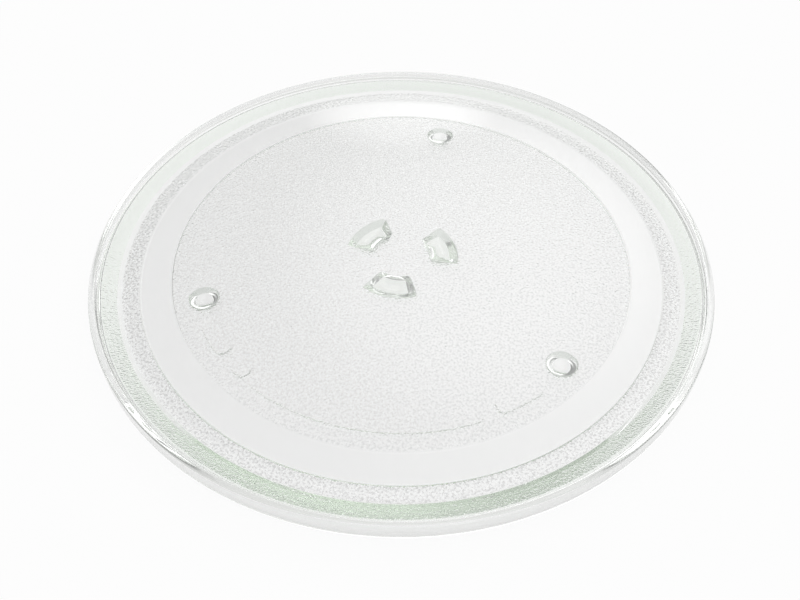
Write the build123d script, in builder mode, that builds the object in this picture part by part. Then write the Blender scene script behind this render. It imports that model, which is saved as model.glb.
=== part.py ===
"""Turntable plate of a microwave oven, pressed in one piece of clear glass.

Millimetres, +Z up. The origin is on the plate's axis, level with the ends of its feet.
"""
import os
from math import cos, radians, sin

from build123d import *

os.makedirs("parts", exist_ok=True)

# Overall size, marked on the photograph
plate_diameter = 255.0

# Heights
foot_height = 4.5
lug_foot_clearance = 0.5
floor_thickness = 5.0
rim_rise = 3.6
web_rise = 2.3
groove_rise = 4.8
bead_low_rise = 1.7

# Rim section, as widths measured in from the rim: a sloping web that carries a beaded edge
flare_width = 11.7
floor_corner_inset = 14.5
groove_inset = 4.1
crease_inset = 3.6
lip_width = 2.9
bead_low_width = 2.5

# Rounding of the rim section
flare_round = 1.5
groove_round = 0.7
bead_inner_round = 1.0
bead_outer_round = 1.4
lip_outer_round = 1.9
lip_inner_round = 0.5
crease_round = 0.5
floor_corner_round = 25.0

# Smooth roller track on the underside, and the stippled border outside it
border_width = 18.7
track_width = 13.5
track_proud = 0.3
track_bevel = 0.4

# Drive lugs and feet, alternating round the axis
lug_count = 3
lug_first_angle = 30.0
lug_root_inner_radius = 12.5
lug_root_outer_radius = 24.4
lug_root_half_angle = 30.0
lug_end_inner_radius = 13.0
lug_end_outer_radius = 20.4
lug_end_half_angle = 21.0
foot_track_gap = 5.6
foot_root_diameter = 12.6
foot_end_diameter = 7.0

# How far lugs and feet are sunk into the floor so that they join it
root_overlap = 0.5

# Sizes that follow from the ones above
rim_radius = plate_diameter / 2
lip_inner_radius = rim_radius - lip_width
crease_radius = rim_radius - crease_inset
groove_radius = rim_radius - groove_inset
bead_low_radius = rim_radius - bead_low_width
floor_corner_radius = rim_radius - floor_corner_inset
flare_start_radius = rim_radius - flare_width
track_outer_radius = rim_radius - border_width
track_inner_radius = track_outer_radius - track_width
foot_circle_radius = track_inner_radius - foot_track_gap - foot_root_diameter / 2
underside_z = foot_height
track_z = underside_z - track_proud
floor_z = underside_z + floor_thickness
lip_z = floor_z + rim_rise
crease_z = floor_z + web_rise
groove_z = underside_z + groove_rise
bead_low_z = underside_z + bead_low_rise
lug_end_z = lug_foot_clearance
root_z = underside_z + root_overlap
lug_pitch_angle = 360 / lug_count
foot_first_angle = lug_first_angle + lug_pitch_angle / 2


def sector(inner_radius, outer_radius, half_angle):
    """Outline of a ring segment centred on the X axis."""
    side_x = cos(radians(half_angle))
    side_y = sin(radians(half_angle))
    inner_low = (inner_radius * side_x, -inner_radius * side_y)
    inner_high = (inner_radius * side_x, inner_radius * side_y)
    outer_low = (outer_radius * side_x, -outer_radius * side_y)
    outer_high = (outer_radius * side_x, outer_radius * side_y)
    Line(inner_low, outer_low)
    ThreePointArc(outer_low, (outer_radius, 0), outer_high)
    Line(outer_high, inner_high)
    ThreePointArc(inner_high, (inner_radius, 0), inner_low)


# Section of the round plate: floor, proud roller track, sloping web and beaded edge
with BuildSketch(Plane.XZ) as section:
    with BuildLine():
        Polyline(
            (0, underside_z),
            (track_inner_radius, underside_z),
            (track_inner_radius + track_bevel, track_z),
            (track_outer_radius - track_bevel, track_z),
            (track_outer_radius, underside_z),
            (flare_start_radius, underside_z),
            (groove_radius, groove_z),
            (bead_low_radius, bead_low_z),
            (rim_radius, bead_low_z),
            (rim_radius, lip_z),
            (lip_inner_radius, lip_z),
            (crease_radius, crease_z),
            (floor_corner_radius, floor_z),
            (0, floor_z),
            close=True,
        )
    make_face()
    for corner, corner_round in (
        ((flare_start_radius, underside_z), flare_round),
        ((groove_radius, groove_z), groove_round),
        ((bead_low_radius, bead_low_z), bead_inner_round),
        ((rim_radius, bead_low_z), bead_outer_round),
        ((rim_radius, lip_z), lip_outer_round),
        ((lip_inner_radius, lip_z), lip_inner_round),
        ((crease_radius, crease_z), crease_round),
        ((floor_corner_radius, floor_z), floor_corner_round),
    ):
        fillet(section.vertices().sort_by_distance(corner)[0], corner_round)

# One drive lug: a ring segment with sloping sides
with BuildPart() as drive_lug:
    with BuildSketch(Plane.XY.offset(root_z)):
        with BuildLine():
            sector(lug_root_inner_radius, lug_root_outer_radius, lug_root_half_angle)
        make_face()
    with BuildSketch(Plane.XY.offset(lug_end_z)):
        with BuildLine():
            sector(lug_end_inner_radius, lug_end_outer_radius, lug_end_half_angle)
        make_face()
    loft()

# One foot: a round stud with a sloping side
with BuildPart() as foot:
    with BuildSketch(Plane.XZ):
        with BuildLine():
            Polyline(
                (0, 0),
                (foot_end_diameter / 2, 0),
                (foot_root_diameter / 2, underside_z),
                (foot_root_diameter / 2, root_z),
                (0, root_z),
                close=True,
            )
        make_face()
    revolve(axis=Axis.Z)

with BuildPart() as turntable_plate:
    add(section.sketch)
    revolve(axis=Axis.Z)
    with PolarLocations(0, lug_count, start_angle=lug_first_angle):
        add(drive_lug.part)
    with PolarLocations(foot_circle_radius, lug_count, start_angle=foot_first_angle):
        add(foot.part)

turntable_plate.part.label = "turntable_plate"
export_step(turntable_plate.part, "parts/turntable_plate.step")
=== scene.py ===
"""Looks of the turntable plate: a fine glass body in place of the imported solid, floor, light and camera."""

import math
import random
from collections import namedtuple

import bmesh
import bpy
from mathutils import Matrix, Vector
from mathutils.geometry import delaunay_2d_cdt


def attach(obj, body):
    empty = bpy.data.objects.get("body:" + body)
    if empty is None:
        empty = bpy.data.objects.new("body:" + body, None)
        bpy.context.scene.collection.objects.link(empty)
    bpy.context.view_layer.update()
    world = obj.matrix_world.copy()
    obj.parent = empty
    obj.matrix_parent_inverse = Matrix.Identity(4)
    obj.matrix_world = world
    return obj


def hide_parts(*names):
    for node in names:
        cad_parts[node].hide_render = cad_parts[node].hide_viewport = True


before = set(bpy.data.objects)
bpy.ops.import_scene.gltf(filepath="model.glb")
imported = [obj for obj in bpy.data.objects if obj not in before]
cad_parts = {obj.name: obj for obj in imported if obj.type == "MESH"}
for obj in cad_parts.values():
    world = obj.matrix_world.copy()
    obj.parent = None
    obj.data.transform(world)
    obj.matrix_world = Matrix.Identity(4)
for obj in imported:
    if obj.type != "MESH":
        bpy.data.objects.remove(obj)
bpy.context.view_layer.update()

MM = 0.001
TAU = 2 * math.pi

# Inner and outer radius of a ring segment, and half its angle in degrees
Segment = namedtuple("Segment", "inner outer half_angle")
# Two limits of a value, and the results at both
Ramp = namedtuple("Ramp", "low high low_result high_result")
# Direction in the photograph's axes, half the width and half the height as sines of angles, and strength
Lamp = namedtuple("Lamp", "direction half_width half_height strength")

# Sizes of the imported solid, in millimetres; insets and widths, but for the track's, are in from the rim
RIM_RADIUS = 127.5
UNDERSIDE_Z = 4.5
FLOOR_THICKNESS = 5.0
RIM_RISE = 3.6
WEB_RISE = 2.3
GROOVE_RISE = 4.8
BEAD_LOW_RISE = 1.7
FLARE_WIDTH = 11.7
FLOOR_CORNER_INSET = 14.5
GROOVE_INSET = 4.1
CREASE_INSET = 3.6
LIP_WIDTH = 2.9
BEAD_LOW_WIDTH = 2.5
FLARE_ROUND = 1.5
GROOVE_ROUND = 0.7
BEAD_INNER_ROUND = 1.0
BEAD_OUTER_ROUND = 1.4
LIP_OUTER_ROUND = 1.9
LIP_INNER_ROUND = 0.5
CREASE_ROUND = 0.5
FLOOR_CORNER_ROUND = 25.0
BORDER_WIDTH = 18.7
TRACK_WIDTH = 13.5
TRACK_PROUD = 0.3
TRACK_BEVEL = 0.4
LUG_ANGLES = (30.0, 150.0, 270.0)
LUG_ROOT = Segment(12.5, 24.4, 30.0)
LUG_END = Segment(13.0, 20.4, 21.0)
LUG_END_Z = 0.5
FOOT_ANGLES = (90.0, 210.0, 330.0)
FOOT_CIRCLE = 83.4
FOOT_ROOT_RADIUS = 6.3
FOOT_END_RADIUS = 3.5

# Places that follow from these sizes
FLOOR_Z = UNDERSIDE_Z + FLOOR_THICKNESS
LIP_Z = FLOOR_Z + RIM_RISE
BEAD_LOW_Z = UNDERSIDE_Z + BEAD_LOW_RISE
TRACK_Z = UNDERSIDE_Z - TRACK_PROUD
FLARE_START = RIM_RADIUS - FLARE_WIDTH
GROOVE_RADIUS = RIM_RADIUS - GROOVE_INSET
TRACK_OUTER = RIM_RADIUS - BORDER_WIDTH
TRACK_INNER = TRACK_OUTER - TRACK_WIDTH

# Corners of the rim from the foot of the web round to the floor, each with the radius that rounds it
RIM_CORNERS = (
    (FLARE_START, UNDERSIDE_Z, FLARE_ROUND),
    (GROOVE_RADIUS, UNDERSIDE_Z + GROOVE_RISE, GROOVE_ROUND),
    (RIM_RADIUS - BEAD_LOW_WIDTH, BEAD_LOW_Z, BEAD_INNER_ROUND),
    (RIM_RADIUS, BEAD_LOW_Z, BEAD_OUTER_ROUND),
    (RIM_RADIUS, LIP_Z, LIP_OUTER_ROUND),
    (RIM_RADIUS - LIP_WIDTH, LIP_Z, LIP_INNER_ROUND),
    (RIM_RADIUS - CREASE_INSET, FLOOR_Z + WEB_RISE, CREASE_ROUND),
    (RIM_RADIUS - FLOOR_CORNER_INSET, FLOOR_Z, FLOOR_CORNER_ROUND),
)

# Sides of lugs and feet, softened at root and end: share of the way in, and share of the height
SIDE_PROFILE = ((0.0, 0.0), (0.1, 0.04), (0.22, 0.16), (0.82, 0.84), (0.93, 0.96), (1.0, 1.0))
LUG_ROOT_CORNER = 1.4
LUG_END_CORNER = 0.8
# Softened borders of the track: distance in from the border in bevels, and height over the track
TRACK_PROFILE = ((0.5, 0.12), (1.0, 0.0), (3.0, 0.0))

# Blank raised pads near the border of the stippled middle: first and last angle of each
PAD_ANGLES = ((-141.7, -128.8), (-125.0, -119.4), (-117.6, -56.9), (-52.8, -39.1))
PAD_INNER = 81.2
PAD_OUTER = 88.2
PAD_HEIGHT = 0.15
PAD_WALL = 0.2
PAD_CORNER = 3.0

# Stipple of the underside, as carried by the mesh
GRAIN_SEED = 7
GRAIN_PITCH = 0.82
GRAIN_HEIGHT = 0.06
GRAIN_JITTER = 0.2
GRAIN_MARGIN = 0.4
STIPPLE_END = FLARE_START - 0.6

# Mesh fineness
RIM_SEGMENTS = 600
BORDER_SEGMENTS = 720
FOOT_SEGMENTS = 48
ROUND_STEPS = 5
OUTER_STEPS = 26
INNER_STEPS = 18
SIDE_STEPS = 10
CORNER_STEPS = 4
FLOOR_RINGS = (100.0, 60.0, 20.0)
MERGE_DISTANCE = 1e-6
# Rings this close to each round keep the flats between them flat when shaded
ROUND_HOLD = 0.1

# Glass, and the green that its depth adds
GLASS_IOR = 1.52
DEPTH_TINT = (0.40, 0.68, 0.32, 1.0)
DEPTH_DENSITY = 2.1

# Finer stipple than the mesh carries, for the shading, and its share of the full height in each zone
FINE_PITCH = 0.7
FINE_HEIGHT = 0.3
MIDDLE_DEPTH = 0.4
BORDER_DEPTH = 0.45
WEB_DEPTH = 0.32
WEB_START = FLARE_START + 1.8
STREAK_PITCH = 0.6
STREAK_LENGTH = 1.1

# Painted shade: darker specks that stand in for the shade the stipple makes by refraction, and their strength
# in each zone
SPECK_PITCH = 1.05
SPECK_DETAIL = 2.0
SPECK_RAMP = Ramp(0.35, 0.56, 1.0, 0.0)
MIDDLE_SPECK_SHADE = 0.21
BORDER_SPECK_SHADE = 0.4

# Painted colour: green in the web's grains that stands in for light guided along the glass, and painted shade
# on the outer edge, the lugs' ends and the sloping sides of lugs and feet
# Painted green of light guided along the glass
PAINTED_WEB_GREEN = (0.87, 0.95, 0.855, 1.0)
PAINTED_WEB_GREEN_BASE = 0.35
# Painted shade on the outer edge of the rim, below the lip
PAINTED_EDGE_SHADE = (0.66, 0.67, 0.65, 1.0)
EDGE_START = RIM_RADIUS - 0.9
# Painted shade on the lugs' end faces
PAINTED_LUG_END_SHADE = (0.88, 0.91, 0.87, 1.0)
PAINTED_LUG_END_SHADE_TOP = LUG_END_Z + 0.2
# Painted shade on the sloping sides of lugs and feet
PAINTED_SIDE_SHADE = (0.66, 0.70, 0.66, 1.0)
SIDE_LOW = LUG_END_Z + 0.25
SIDE_HIGH = UNDERSIDE_Z - 0.5

# How far the stippled zones reach past their grains, and how far below the floor's face the web's zone ends
LEVEL_MARGIN = 0.02
FLOOR_MARGIN = 0.05

# Studio floor: half its width in metres, and its gap to the feet in millimetres
STAGE_SIZE = 3.0
STAGE_CELLS = 8
STAGE_GAP = 0.05
STAGE_GREY = (0.92, 0.92, 0.92, 1.0)
STAGE_WHITE = (1.0, 1.0, 1.0, 1.0)
# Share of plain white that the camera sees on the floor, and that is seen through the glass
CAMERA_WHITE = 0.94
GLASS_WHITE = 0.72

# Studio light by height, from 0 at the horizon to 1 overhead; the sky also changes from left to right
SKY = Ramp(0.4, 0.72, 0.0, 0.92)
SKY_ACROSS = Ramp(-0.5, 0.5, 0.35, 1.45)
HAZE = Ramp(0.35, 0.65, 0.32, 0.0)
HORIZON = Ramp(0.06, 0.2, 0.5, 0.0)
ZENITH = Ramp(0.9, 0.99, 0.0, 0.7)
# Soft lamps that show as glows in the glass
BROAD_LAMP = Lamp((0.09, 0.69, 0.718), 0.26, 0.22, 1.2)
BACK_LAMP = Lamp((0.0, 0.8127, 0.5827), 0.13, 0.055, 1.4)
# A lamp shows only on its own side of the sky: it comes in between these cosines of the angle to it
LAMP_SIDE = (0.5, 0.6)
# Light runs a long way inside the glass before it leaves
LIGHT_BOUNCES = 24

# The photograph's camera: place in metres from the middle of the plate's upper face, tilt in degrees,
# and focal length in pixels of the photograph's width
CAMERA_PLACE = (-0.0005, -0.2433, 0.2466)
CAMERA_DOWN = 48.87
FOCAL_PIXELS = 820.63
PHOTO_PIXELS = 800
SENSOR_WIDTH = 36.0
NEAR_CLIP = 0.01
# Camera and light are laid out with the view along +Y, then turned to the plate
TURN = math.radians(13.2)

rng = random.Random(GRAIN_SEED)


def turned(x, y, z):
    """Place or direction in the photograph's axes, turned to the plate's."""
    c, s = math.cos(TURN), math.sin(TURN)
    return Vector((c * x - s * y, s * x + c * y, z))


def between(first, last, share):
    """Value part of the way from one to another."""
    return first + (last - first) * share


def polar(radius, angle):
    """Point at a radius and an angle in radians."""
    return Vector((radius * math.cos(angle), radius * math.sin(angle)))


def angle_from(p, centre_deg):
    """Angle of a point from a direction, in radians within half a turn."""
    return math.radians((math.degrees(math.atan2(p.y, p.x)) - centre_deg + 180) % 360 - 180)


def circle(centre, radius, count):
    """Points of a circle, from angle 0."""
    return [centre + polar(radius, TAU * k / count) for k in range(count)]


def rounded(points, radii):
    """Open polyline with an arc of the given radius at each inner corner."""
    out = [points[0]]
    for before, corner, after, radius in zip(points, points[1:], points[2:], radii):
        c = Vector(corner)
        a = (Vector(before) - c).normalized()
        b = (Vector(after) - c).normalized()
        half = a.angle(b) / 2
        reach = radius / math.tan(half)
        centre = c + (a + b).normalized() * (radius / math.sin(half))
        out.append(tuple(c + a * (reach + ROUND_HOLD)))
        start = c + a * reach - centre
        turn = start.angle_signed(c + b * reach - centre)
        for k in range(ROUND_STEPS + 1):
            angle = -turn * k / ROUND_STEPS
            x = start.x * math.cos(angle) - start.y * math.sin(angle)
            y = start.x * math.sin(angle) + start.y * math.cos(angle)
            out.append((centre.x + x, centre.y + y))
        out.append(tuple(c + b * (reach + ROUND_HOLD)))
    out.append(points[-1])
    return out


def segment_loop(size, centre_deg, corner):
    """Outline of a ring segment with softened corners."""
    half = math.radians(size.half_angle)
    middle = math.radians(centre_deg)
    cut = corner / (size.outer - size.inner)
    trim_outer = corner / size.outer
    trim_inner = corner / size.inner

    def arc(r, first, last, steps):
        return [polar(r, middle + (first + (last - first) * k / steps)) for k in range(steps + 1)]

    def side(first, last, t):
        shares = [cut + (1 - 2 * cut) * k / SIDE_STEPS for k in range(SIDE_STEPS + 1)]
        return [polar(between(first, last, share), middle + t) for share in shares]

    runs = (
        arc(size.outer, trim_outer - half, half - trim_outer, OUTER_STEPS),
        side(size.outer, size.inner, half),
        arc(size.inner, half - trim_inner, trim_inner - half, INNER_STEPS),
        side(size.inner, size.outer, -half),
    )
    tips = (
        polar(size.outer, middle + half),
        polar(size.inner, middle + half),
        polar(size.inner, middle - half),
        polar(size.outer, middle - half),
    )
    loop = []
    for k, (run, tip) in enumerate(zip(runs, tips)):
        loop.extend(run)
        first, last = run[-1], runs[(k + 1) % len(runs)][0]
        for m in range(1, CORNER_STEPS):
            t = m / CORNER_STEPS
            loop.append(first * (1 - t) ** 2 + tip * (2 * t * (1 - t)) + last * t ** 2)
    return loop


class Skin:
    """Vertices, in millimetres, and faces of the glass body."""

    def __init__(self):
        self.verts = []
        self.faces = []

    def ring(self, radius, height, count):
        """Adds a closed ring; height is a number or a function that gives one per vertex."""
        first = len(self.verts)
        for k in range(count):
            angle = TAU * k / count
            z = height() if callable(height) else height
            self.verts.append((radius * math.cos(angle), radius * math.sin(angle), z))
        return list(range(first, first + count))

    def band(self, a, b):
        """Joins two rings that both start at angle 0, also where their counts differ."""
        i = j = 0
        while i < len(a) or j < len(b):
            ahead = (i + 1) * len(b) - (j + 1) * len(a)
            face = [a[i % len(a)]]
            if ahead <= 0:
                face.append(a[(i + 1) % len(a)])
            if ahead >= 0:
                face.append(b[(j + 1) % len(b)])
            face.append(b[j % len(b)])
            self.faces.append(face)
            i += ahead <= 0
            j += ahead >= 0

    def grow(self, last, radius, height, count):
        """Adds a ring, joins it to the last one and returns it."""
        ring = self.ring(radius, height, count)
        self.band(last, ring)
        return ring

    def close(self, last, height):
        """Closes the last ring with a fan about the axis."""
        centre = len(self.verts)
        self.verts.append((0.0, 0.0, height))
        for k, vertex in enumerate(last):
            self.faces.append((vertex, last[(k + 1) % len(last)], centre))

    def make(self, name):
        """Smooth-shaded object in metres."""
        mesh = bpy.data.meshes.new(name)
        mesh.from_pydata([(x * MM, y * MM, z * MM) for x, y, z in self.verts], [], self.faces)
        bm = bmesh.new()
        bm.from_mesh(mesh)
        bmesh.ops.recalc_face_normals(bm, faces=bm.faces)
        bm.to_mesh(mesh)
        bm.free()
        mesh.shade_smooth()
        obj = bpy.data.objects.new(name, mesh)
        bpy.context.scene.collection.objects.link(obj)
        return obj


class Sheet:
    """Points of the middle of the underside, and the outlines that its triangles follow."""

    def __init__(self):
        self.points = []
        self.heights = []
        self.edges = []

    def outline(self, loop, z):
        """Adds a closed outline at one height."""
        first = len(self.points)
        count = len(loop)
        self.points.extend(loop)
        self.heights.extend([z] * count)
        self.edges.extend((first + k, first + (k + 1) % count) for k in range(count))

    def spot(self, p, z):
        """Adds a single point."""
        self.points.append(p)
        self.heights.append(z)

    def fill(self, skin):
        """Adds the triangles to the skin; returns the skin's vertex for each point."""
        spots, _, triangles, sources, _, _ = delaunay_2d_cdt(self.points, self.edges, [], 0, MERGE_DISTANCE)
        first = len(skin.verts)
        vertex_of = {}
        for k, (p, source) in enumerate(zip(spots, sources)):
            skin.verts.append((p.x, p.y, self.heights[source[0]]))
            vertex_of.update((point, first + k) for point in source)
        skin.faces.extend([first + k for k in triangle] for triangle in triangles)
        return vertex_of


def foot_centres():
    """Where the feet stand."""
    return [polar(FOOT_CIRCLE, math.radians(angle)) for angle in FOOT_ANGLES]


def add_lugs(sheet):
    """Drive lugs: ring segments with sloping sides."""
    for centre in LUG_ANGLES:
        for share, rise in SIDE_PROFILE:
            size = Segment(*(between(root, end, share) for root, end in zip(LUG_ROOT, LUG_END)))
            corner = between(LUG_ROOT_CORNER, LUG_END_CORNER, share)
            sheet.outline(segment_loop(size, centre, corner), between(UNDERSIDE_Z, LUG_END_Z, rise))


def add_feet(sheet):
    """Feet: round studs with a sloping side."""
    for centre in foot_centres():
        for share, rise in SIDE_PROFILE:
            radius = between(FOOT_ROOT_RADIUS, FOOT_END_RADIUS, share)
            sheet.outline(circle(centre, radius, FOOT_SEGMENTS), between(UNDERSIDE_Z, 0.0, rise))


def add_pads(sheet):
    """Blank raised pads."""
    for first_deg, last_deg in PAD_ANGLES:
        centre = (first_deg + last_deg) / 2
        half = (last_deg - first_deg) / 2
        trim = math.degrees(PAD_WALL / PAD_OUTER)
        base = Segment(PAD_INNER, PAD_OUTER, half)
        face = Segment(PAD_INNER + PAD_WALL, PAD_OUTER - PAD_WALL, half - trim)
        sheet.outline(segment_loop(base, centre, PAD_CORNER), UNDERSIDE_Z)
        sheet.outline(segment_loop(face, centre, PAD_CORNER - PAD_WALL), UNDERSIDE_Z - PAD_HEIGHT)


def pad_depth(p, first_deg, last_deg):
    """Distance of a point inside a pad's outline, negative outside it."""
    r = p.length
    across = abs(r - (PAD_INNER + PAD_OUTER) / 2) - (PAD_OUTER - PAD_INNER) / 2 + PAD_CORNER
    half_long = math.radians(last_deg - first_deg) / 2 * r
    along = abs(angle_from(p, (first_deg + last_deg) / 2)) * r - half_long + PAD_CORNER
    return PAD_CORNER - math.hypot(max(across, 0), max(along, 0)) - min(max(across, along), 0)


def near_lug(p):
    """Whether a point lies on a lug's root, or too close to it for a grain."""
    r = p.length
    if r < LUG_ROOT.inner - GRAIN_MARGIN or r > LUG_ROOT.outer + GRAIN_MARGIN:
        return False
    reach = math.radians(LUG_ROOT.half_angle) * r + GRAIN_MARGIN
    return any(abs(angle_from(p, centre)) * r < reach for centre in LUG_ANGLES)


def grain():
    """Height of one grain of the stipple, up or down."""
    return GRAIN_HEIGHT * rng.uniform(-1, 1)


def grain_spots():
    """Points of a loose triangular grid over the middle of the underside."""
    row_pitch = GRAIN_PITCH * math.sqrt(3) / 2
    rows = int(TRACK_INNER / row_pitch) + 1
    columns = int(TRACK_INNER / GRAIN_PITCH) + 1
    for row in range(-rows, rows + 1):
        for column in range(-columns, columns + 1):
            x = (column + (row % 2) / 2) * GRAIN_PITCH + rng.uniform(-GRAIN_JITTER, GRAIN_JITTER)
            y = row * row_pitch + rng.uniform(-GRAIN_JITTER, GRAIN_JITTER)
            yield Vector((x, y))


def add_grains(sheet):
    """Stipple between the lugs, the feet and the walls of the pads."""
    feet = foot_centres()
    for p in grain_spots():
        if p.length > TRACK_INNER - GRAIN_MARGIN or near_lug(p):
            continue
        if any((p - foot).length < FOOT_ROOT_RADIUS + GRAIN_MARGIN for foot in feet):
            continue
        depth = max(pad_depth(p, *pad) for pad in PAD_ANGLES)
        if -GRAIN_MARGIN < depth < PAD_WALL + GRAIN_MARGIN:
            continue
        level = UNDERSIDE_Z - PAD_HEIGHT if depth > 0 else UNDERSIDE_Z
        sheet.spot(p, level + grain())


def add_middle(skin):
    """Stippled middle of the underside with its lugs, feet and pads; returns its outer ring."""
    sheet = Sheet()
    sheet.outline(circle(Vector((0.0, 0.0)), TRACK_INNER, BORDER_SEGMENTS), UNDERSIDE_Z)
    add_lugs(sheet)
    add_feet(sheet)
    add_pads(sheet)
    add_grains(sheet)
    vertex_of = sheet.fill(skin)
    return [vertex_of[k] for k in range(BORDER_SEGMENTS)]


def add_track(skin, last):
    """Smooth roller track; returns its outer ring."""
    inner = [(TRACK_INNER + TRACK_BEVEL * step, TRACK_Z + rise) for step, rise in TRACK_PROFILE]
    outer = [(TRACK_OUTER - TRACK_BEVEL * step, TRACK_Z + rise) for step, rise in reversed(TRACK_PROFILE)]
    for radius, z in inner + outer + [(TRACK_OUTER, UNDERSIDE_Z)]:
        last = skin.grow(last, radius, z, BORDER_SEGMENTS)
    return last


def add_border(skin, last):
    """Stippled border outside the track; returns its outer ring."""
    steps = int((STIPPLE_END - TRACK_OUTER) / GRAIN_PITCH)
    for k in range(1, steps):
        radius = between(TRACK_OUTER, STIPPLE_END, k / steps)
        last = skin.grow(last, radius, lambda: UNDERSIDE_Z + grain(), BORDER_SEGMENTS)
    return skin.grow(last, STIPPLE_END, UNDERSIDE_Z, RIM_SEGMENTS)


def add_rim(skin, last):
    """Web, beaded edge and upper face of the floor; returns the innermost ring."""
    corners = [(radius, z) for radius, z, _ in RIM_CORNERS]
    rounds = [corner_round for _, _, corner_round in RIM_CORNERS]
    floor_rings = [(radius, FLOOR_Z) for radius in FLOOR_RINGS]
    outline = rounded([(STIPPLE_END, UNDERSIDE_Z)] + corners + floor_rings[:1], rounds)
    for radius, z in outline[1:] + floor_rings[1:]:
        last = skin.grow(last, radius, z, RIM_SEGMENTS)
    return last


def build_plate():
    """Closed glass body, from the middle of the underside over the rim to the middle of the floor."""
    skin = Skin()
    last = add_middle(skin)
    last = add_track(skin, last)
    last = add_border(skin, last)
    last = add_rim(skin, last)
    skin.close(last, FLOOR_Z)
    return skin.make("glass_plate")


class Graph:
    """Short forms for building one node tree from nothing."""

    def __init__(self, owner):
        owner.use_nodes = True
        self.tree = owner.node_tree
        self.tree.nodes.clear()

    def node(self, kind, inputs=None, **settings):
        """New node; inputs maps a socket's name or number to a constant or another node's output."""
        node = self.tree.nodes.new(kind)
        for name, setting in settings.items():
            setattr(node, name, setting)
        for key, value in (inputs or {}).items():
            if isinstance(value, bpy.types.NodeSocket):
                self.tree.links.new(value, node.inputs[key])
            else:
                node.inputs[key].default_value = value
        return node

    def math(self, operation, *values, clamp=False):
        """Result of a math node."""
        node = self.node("ShaderNodeMath", dict(enumerate(values)), operation=operation, use_clamp=clamp)
        return node.outputs["Value"]

    def total(self, *values):
        """Sum of several values."""
        result = values[0]
        for value in values[1:]:
            result = self.math("ADD", result, value)
        return result

    def weighted(self, *pairs):
        """Sum of values, each times its weight."""
        return self.total(*(self.math("MULTIPLY", value, weight) for value, weight in pairs))

    def within(self, value, low, high):
        """1 where a value lies between two limits, 0 elsewhere."""
        return self.math("COMPARE", value, (low + high) / 2, (high - low) / 2)

    def graded(self, value, ramp, interpolation="SMOOTHSTEP"):
        """Result along a ramp."""
        limits = {"From Min": ramp.low, "From Max": ramp.high}
        results = {"To Min": ramp.low_result, "To Max": ramp.high_result}
        inputs = {"Value": value, **limits, **results}
        return self.node("ShaderNodeMapRange", inputs, interpolation_type=interpolation).outputs["Result"]


def textured_zones(g, radius, z):
    """Masks of the stippled middle, the stippled border outside the track, and the web of the rim."""
    reach = GRAIN_HEIGHT + LEVEL_MARGIN
    level = g.within(z, (UNDERSIDE_Z - PAD_HEIGHT - reach) * MM, (UNDERSIDE_Z + reach) * MM)
    below = g.math("LESS_THAN", z, (FLOOR_Z - FLOOR_MARGIN) * MM)
    middle = g.math("MULTIPLY", level, g.math("LESS_THAN", radius, TRACK_INNER * MM))
    web = g.math("MULTIPLY", g.within(radius, WEB_START * MM, GROOVE_RADIUS * MM), below)
    outside = g.math("MULTIPLY", level, g.math("GREATER_THAN", radius, TRACK_OUTER * MM))
    border = g.math("MULTIPLY", outside, g.math("SUBTRACT", 1.0, web))
    return middle, border, web


def fine_grains(g, spot, angle, radius, web):
    """Distance from the centre of each grain: round on the flats, drawn out across the rim on the web."""
    scale = {0: spot, "Scale": 1 / (FINE_PITCH * MM)}
    flat = g.node("ShaderNodeVectorMath", scale, operation="SCALE").outputs["Vector"]
    around = g.math("MULTIPLY", angle, RIM_RADIUS / STREAK_PITCH)
    outward = g.math("MULTIPLY", radius, 1 / (STREAK_LENGTH * MM))
    streak = g.node("ShaderNodeCombineXYZ", {"X": around, "Y": outward}).outputs["Vector"]
    place = g.node("ShaderNodeMix", {"Factor": web, "A": flat, "B": streak}, data_type="VECTOR")
    cells = {"Vector": place.outputs["Result"], "Scale": 1.0}
    return g.node("ShaderNodeTexVoronoi", cells, voronoi_dimensions="2D").outputs["Distance"]


def speckled_shade(g, spot, middle, border):
    """White, with specks of painted shade on the stipple."""
    noise = {"Vector": spot, "Scale": 1 / (SPECK_PITCH * MM), "Detail": SPECK_DETAIL}
    speck = g.node("ShaderNodeTexNoise", noise, noise_dimensions="2D").outputs["Fac"]
    amount = g.weighted((middle, MIDDLE_SPECK_SHADE), (border, BORDER_SPECK_SHADE))
    return g.math("SUBTRACT", 1.0, g.math("MULTIPLY", g.graded(speck, SPECK_RAMP, "LINEAR"), amount))


def painted_green_and_shade(g, colour, radius, z, web, distance):
    """Colour with painted green of guided light in the web's grains, and painted shade on the edge, the lugs'
    ends and the sloping sides of lugs and feet.
    """
    # Painted green of guided light, stronger away from each grain's centre
    web_green_share = g.math("MULTIPLY", web, g.math("ADD", PAINTED_WEB_GREEN_BASE, distance), clamp=True)
    # Painted shade on the outer edge, growing from the lip down to the bead's foot
    lower = g.graded(z, Ramp(LIP_Z * MM, BEAD_LOW_Z * MM, 0.0, 1.0), "LINEAR")
    edge_shade_share = g.math("MULTIPLY", g.math("GREATER_THAN", radius, EDGE_START * MM), lower)
    # Painted shade on the lugs' end faces
    by_lugs = g.math("LESS_THAN", radius, LUG_ROOT.outer * MM)
    lug_end_shade_share = g.math("MULTIPLY", by_lugs, g.math("LESS_THAN", z, PAINTED_LUG_END_SHADE_TOP * MM))
    # Painted shade on the sloping sides of lugs and feet
    side_shade_share = g.within(z, SIDE_LOW * MM, SIDE_HIGH * MM)
    tones = ((web_green_share, PAINTED_WEB_GREEN), (edge_shade_share, PAINTED_EDGE_SHADE), (lug_end_shade_share, PAINTED_LUG_END_SHADE), (side_shade_share, PAINTED_SIDE_SHADE))
    for share, tone in tones:
        mix = {"Fac": share, "Color1": colour, "Color2": tone}
        colour = g.node("ShaderNodeMixRGB", mix, blend_type="MULTIPLY").outputs["Color"]
    return colour


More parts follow.
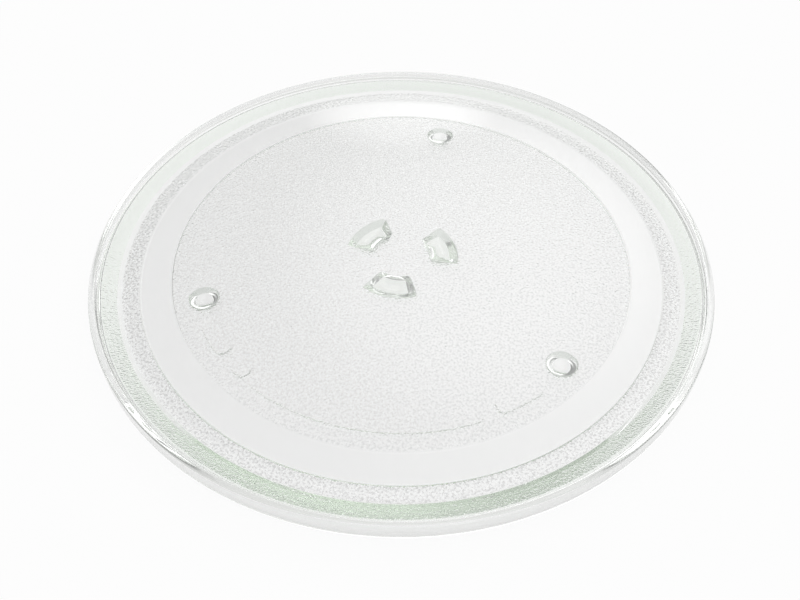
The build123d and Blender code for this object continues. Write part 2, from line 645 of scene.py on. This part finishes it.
def glass_material():
    """Clear glass with a faint green depth; the textured zones below carry a finer grain than the mesh."""
    material = bpy.data.materials.new("pressed_glass")
    g = Graph(material)
    spot = g.node("ShaderNodeTexCoord").outputs["Object"]
    x, y, z = g.node("ShaderNodeSeparateXYZ", {0: spot}).outputs
    radius = g.math("SQRT", g.math("ADD", g.math("MULTIPLY", x, x), g.math("MULTIPLY", y, y)))
    middle, border, web = textured_zones(g, radius, z)
    distance = fine_grains(g, spot, g.math("ARCTAN2", y, x), radius, web)
    depth = g.weighted((middle, MIDDLE_DEPTH), (border, BORDER_DEPTH), (web, WEB_DEPTH))
    bump = {"Distance": FINE_HEIGHT * MM, "Strength": depth, "Height": g.math("POWER", distance, 2.0)}
    relief = g.node("ShaderNodeBump", bump).outputs["Normal"]
    # Base colour: painted shade specks, painted green on the web, painted shade on the edge, the lugs' ends
    # and the sloping sides
    colour = painted_green_and_shade(g, speckled_shade(g, spot, middle, border), radius, z, web, distance)
    clear = {"Roughness": 0.0, "IOR": GLASS_IOR, "Transmission Weight": 1.0}
    glass = g.node("ShaderNodeBsdfPrincipled", {**clear, "Base Color": colour, "Normal": relief})
    tint = g.node("ShaderNodeVolumeAbsorption", {"Color": DEPTH_TINT, "Density": DEPTH_DENSITY})
    shaders = {"Surface": glass.outputs["BSDF"], "Volume": tint.outputs["Volume"]}
    g.node("ShaderNodeOutputMaterial", shaders)
    return material


def floor_material():
    """Pale floor: mostly plain white to the camera and through the glass, diffuse to all other light."""
    material = bpy.data.materials.new("floor_white")
    g = Graph(material)
    path = g.node("ShaderNodeLightPath").outputs
    by_glass = g.math("ADD", path["Is Glossy Ray"], path["Is Transmission Ray"], clamp=True)
    in_glass = g.math("MULTIPLY", by_glass, GLASS_WHITE)
    share = g.math("MULTIPLY_ADD", path["Is Camera Ray"], CAMERA_WHITE, in_glass, clamp=True)
    lit = g.node("ShaderNodeBsdfDiffuse", {"Color": STAGE_GREY}).outputs["BSDF"]
    white = g.node("ShaderNodeEmission", {"Color": STAGE_WHITE, "Strength": 1.0}).outputs["Emission"]
    mix = g.node("ShaderNodeMixShader", {0: share, 1: lit, 2: white}).outputs["Shader"]
    g.node("ShaderNodeOutputMaterial", {"Surface": mix})
    return material


def build_floor():
    """Floor a hair below the feet, so that light passes between them."""
    bm = bmesh.new()
    bmesh.ops.create_grid(bm, x_segments=STAGE_CELLS, y_segments=STAGE_CELLS, size=STAGE_SIZE)
    mesh = bpy.data.meshes.new("floor")
    bm.to_mesh(mesh)
    bm.free()
    mesh.materials.append(floor_material())
    obj = bpy.data.objects.new("floor", mesh)
    obj.location.z = -STAGE_GAP * MM
    bpy.context.scene.collection.objects.link(obj)
    return obj


def studio_world():
    """Soft studio, paler overhead and to the right, with two lamps; plain white where seen directly."""
    world = bpy.data.worlds.new("studio")
    g = Graph(world)
    view = g.node("ShaderNodeTexCoord").outputs["Generated"]

    def along(axis):
        """How far the view direction points along an axis of the photograph."""
        inputs = {0: view, 1: turned(*axis)}
        return g.node("ShaderNodeVectorMath", inputs, operation="DOT_PRODUCT").outputs["Value"]

    def glow(lamp):
        """Light of a soft oblong lamp that lies level."""
        ahead = Vector(lamp.direction).normalized()
        down = ahead.cross(Vector((1.0, 0.0, 0.0))).normalized()
        sides = ((down.cross(ahead), lamp.half_width), (down, lamp.half_height))
        shares = [g.math("DIVIDE", along(side), half) for side, half in sides]
        spread = g.total(*(g.math("MULTIPLY", share, share) for share in shares))
        front = g.graded(along(ahead), Ramp(*LAMP_SIDE, 0.0, lamp.strength))
        return g.math("MULTIPLY", front, g.graded(spread, Ramp(0.0, 1.0, 1.0, 0.0)))

    up = along((0, 0, 1))
    right = along((1, 0, 0))
    light = g.total(
        g.math("MULTIPLY", g.graded(up, SKY), g.graded(right, SKY_ACROSS)),
        g.graded(up, HAZE),
        g.graded(up, HORIZON),
        g.graded(up, ZENITH),
        glow(BROAD_LAMP),
        glow(BACK_LAMP),
    )
    seen = g.node("ShaderNodeLightPath").outputs["Is Camera Ray"]
    sky = g.node("ShaderNodeBackground", {"Color": g.math("MAXIMUM", light, seen), "Strength": 1.0})
    g.node("ShaderNodeOutputWorld", {"Surface": sky.outputs["Background"]})
    return world


def photo_camera():
    """Camera that sees the plate as the photograph does."""
    data = bpy.data.cameras.new("camera")
    data.sensor_width = SENSOR_WIDTH
    data.lens = FOCAL_PIXELS / PHOTO_PIXELS * SENSOR_WIDTH
    data.clip_start = NEAR_CLIP
    obj = bpy.data.objects.new("camera", data)
    x, y, height = CAMERA_PLACE
    obj.location = turned(x, y, height + FLOOR_Z * MM)
    obj.rotation_euler = (math.radians(90 - CAMERA_DOWN), 0.0, TURN)
    bpy.context.scene.collection.objects.link(obj)
    return obj


plate = build_plate()
plate.data.materials.append(glass_material())
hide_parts("turntable_plate")
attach(plate, "root")

floor = build_floor()

scene = bpy.context.scene
scene.view_settings.view_transform = "Standard"
scene.cycles.max_bounces = LIGHT_BOUNCES
scene.cycles.glossy_bounces = LIGHT_BOUNCES
scene.cycles.transmission_bounces = LIGHT_BOUNCES
scene.world = studio_world()
scene.camera = photo_camera()
